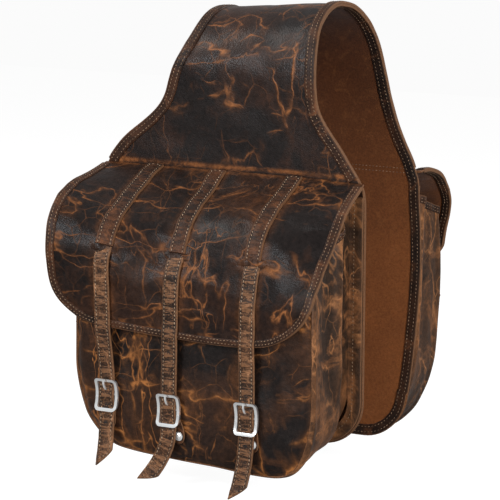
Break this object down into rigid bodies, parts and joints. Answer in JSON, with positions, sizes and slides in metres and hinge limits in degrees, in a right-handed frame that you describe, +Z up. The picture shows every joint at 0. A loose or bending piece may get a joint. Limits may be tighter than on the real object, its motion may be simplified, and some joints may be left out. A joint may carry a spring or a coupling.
{
  "type": "saddle bag",
  "caption": "Throw-over leather saddle bag: two flapped pouches joined by an hourglass yoke, each flap held by strap and buckle fastenings.",
  "frame": {"origin": "underside of the yoke at the crown, on the centre line, where the bag lies over its support", "axes": "+Z up, +X across the width of the bag, the front pouch faces -Y and the rear pouch +Y"},
  "size_m": [0.328, 0.4144, 0.5399],
  "materials": {
    "leather_body": "waxed pull-up hide, dark brown with orange-brown creases",
    "leather_strap": "waxed hide, mid brown, crinkled",
    "nickel": "polished nickel plate"
  },
  "bodies": {
    "front_bag": {"front_yoke": "leather_body", "front_yoke_binding": "leather_body", "front_pouch_front": "leather_body", "front_gusset": "leather_body", "front_snap_studs": "nickel"},
    "front_flap": {"front_flap": "leather_body", "front_flap_binding": "leather_body", "front_strap_1": "leather_strap", "front_strap_2": "leather_strap", "front_strap_3": "leather_strap"},
    "front_billet_1": {"front_billet_1": "leather_strap", "front_buckle_1": "nickel", "front_chape_1": "leather_strap", "front_snap_cap_1": "nickel"},
    "front_prong_1": {"front_prong_1": "nickel"},
    "front_billet_2": {"front_billet_2": "leather_strap", "front_buckle_2": "nickel", "front_chape_2": "leather_strap", "front_snap_cap_2": "nickel"},
    "front_prong_2": {"front_prong_2": "nickel"},
    "front_billet_3": {"front_billet_3": "leather_strap", "front_buckle_3": "nickel", "front_chape_3": "leather_strap", "front_snap_cap_3": "nickel"},
    "front_prong_3": {"front_prong_3": "nickel"},
    "rear_bag": {"rear_yoke": "leather_body", "rear_yoke_binding": "leather_body", "rear_pouch_front": "leather_body", "rear_gusset": "leather_body", "rear_snap_studs": "nickel"},
    "rear_flap": {"rear_flap": "leather_body", "rear_flap_binding": "leather_body", "rear_strap_1": "leather_strap", "rear_strap_2": "leather_strap", "rear_strap_3": "leather_strap"},
    "rear_billet_1": {"rear_billet_1": "leather_strap", "rear_buckle_1": "nickel", "rear_chape_1": "leather_strap", "rear_snap_cap_1": "nickel"},
    "rear_prong_1": {"rear_prong_1": "nickel"},
    "rear_billet_2": {"rear_billet_2": "leather_strap", "rear_buckle_2": "nickel", "rear_chape_2": "leather_strap", "rear_snap_cap_2": "nickel"},
    "rear_prong_2": {"rear_prong_2": "nickel"},
    "rear_billet_3": {"rear_billet_3": "leather_strap", "rear_buckle_3": "nickel", "rear_chape_3": "leather_strap", "rear_snap_cap_3": "nickel"},
    "rear_prong_3": {"rear_prong_3": "nickel"}
  },
  "joints": [
    {"name": "front_flap_hinge", "type": "hinge", "parent": "front_bag", "child": "front_flap", "pos_m": [0, -0.0815, -0.19141], "axis": [-1, 0, 0], "range_deg": [0, 75]},
    {"name": "front_billet_1_swing", "type": "hinge", "parent": "front_flap", "child": "front_billet_1", "pos_m": [-0.096, -0.20403, -0.27115], "axis": [-1, 0, 0], "range_deg": [0, 35]},
    {"name": "front_prong_1_swing", "type": "hinge", "parent": "front_billet_1", "child": "front_prong_1", "pos_m": [-0.096, -0.18154, -0.44009], "axis": [1, 0, 0], "range_deg": [0, 45]},
    {"name": "front_billet_2_swing", "type": "hinge", "parent": "front_flap", "child": "front_billet_2", "pos_m": [-0.016, -0.20403, -0.27115], "axis": [-1, 0, 0], "range_deg": [0, 35]},
    {"name": "front_prong_2_swing", "type": "hinge", "parent": "front_billet_2", "child": "front_prong_2", "pos_m": [-0.016, -0.18343, -0.44822], "axis": [1, 0, 0], "range_deg": [0, 45]},
    {"name": "front_billet_3_swing", "type": "hinge", "parent": "front_flap", "child": "front_billet_3", "pos_m": [0.08, -0.20403, -0.27115], "axis": [-1, 0, 0], "range_deg": [0, 35]},
    {"name": "front_prong_3_swing", "type": "hinge", "parent": "front_billet_3", "child": "front_prong_3", "pos_m": [0.08, -0.18186, -0.44712], "axis": [1, 0, 0], "range_deg": [0, 45]},
    {"name": "rear_flap_hinge", "type": "hinge", "parent": "rear_bag", "child": "rear_flap", "pos_m": [0, 0.0815, -0.19141], "axis": [1, 0, 0], "range_deg": [0, 75]},
    {"name": "rear_billet_1_swing", "type": "hinge", "parent": "rear_flap", "child": "rear_billet_1", "pos_m": [0.096, 0.20403, -0.27115], "axis": [1, 0, 0], "range_deg": [0, 35]},
    {"name": "rear_prong_1_swing", "type": "hinge", "parent": "rear_billet_1", "child": "rear_prong_1", "pos_m": [0.096, 0.18154, -0.44009], "axis": [-1, 0, 0], "range_deg": [0, 45]},
    {"name": "rear_billet_2_swing", "type": "hinge", "parent": "rear_flap", "child": "rear_billet_2", "pos_m": [0.016, 0.20403, -0.27115], "axis": [1, 0, 0], "range_deg": [0, 35]},
    {"name": "rear_prong_2_swing", "type": "hinge", "parent": "rear_billet_2", "child": "rear_prong_2", "pos_m": [0.016, 0.18343, -0.44822], "axis": [-1, 0, 0], "range_deg": [0, 45]},
    {"name": "rear_billet_3_swing", "type": "hinge", "parent": "rear_flap", "child": "rear_billet_3", "pos_m": [-0.08, 0.20403, -0.27115], "axis": [1, 0, 0], "range_deg": [0, 35]},
    {"name": "rear_prong_3_swing", "type": "hinge", "parent": "rear_billet_3", "child": "rear_prong_3", "pos_m": [-0.08, 0.18186, -0.44712], "axis": [-1, 0, 0], "range_deg": [0, 45]},
    {"name": "yoke_fold", "type": "hinge", "parent": "front_bag", "child": "rear_bag", "pos_m": [0, 0, 0], "axis": [1, 0, 0], "range_deg": [-8, 25], "stiffness_Nm_per_rad": 20, "springref_deg": 4.01}
  ]
}
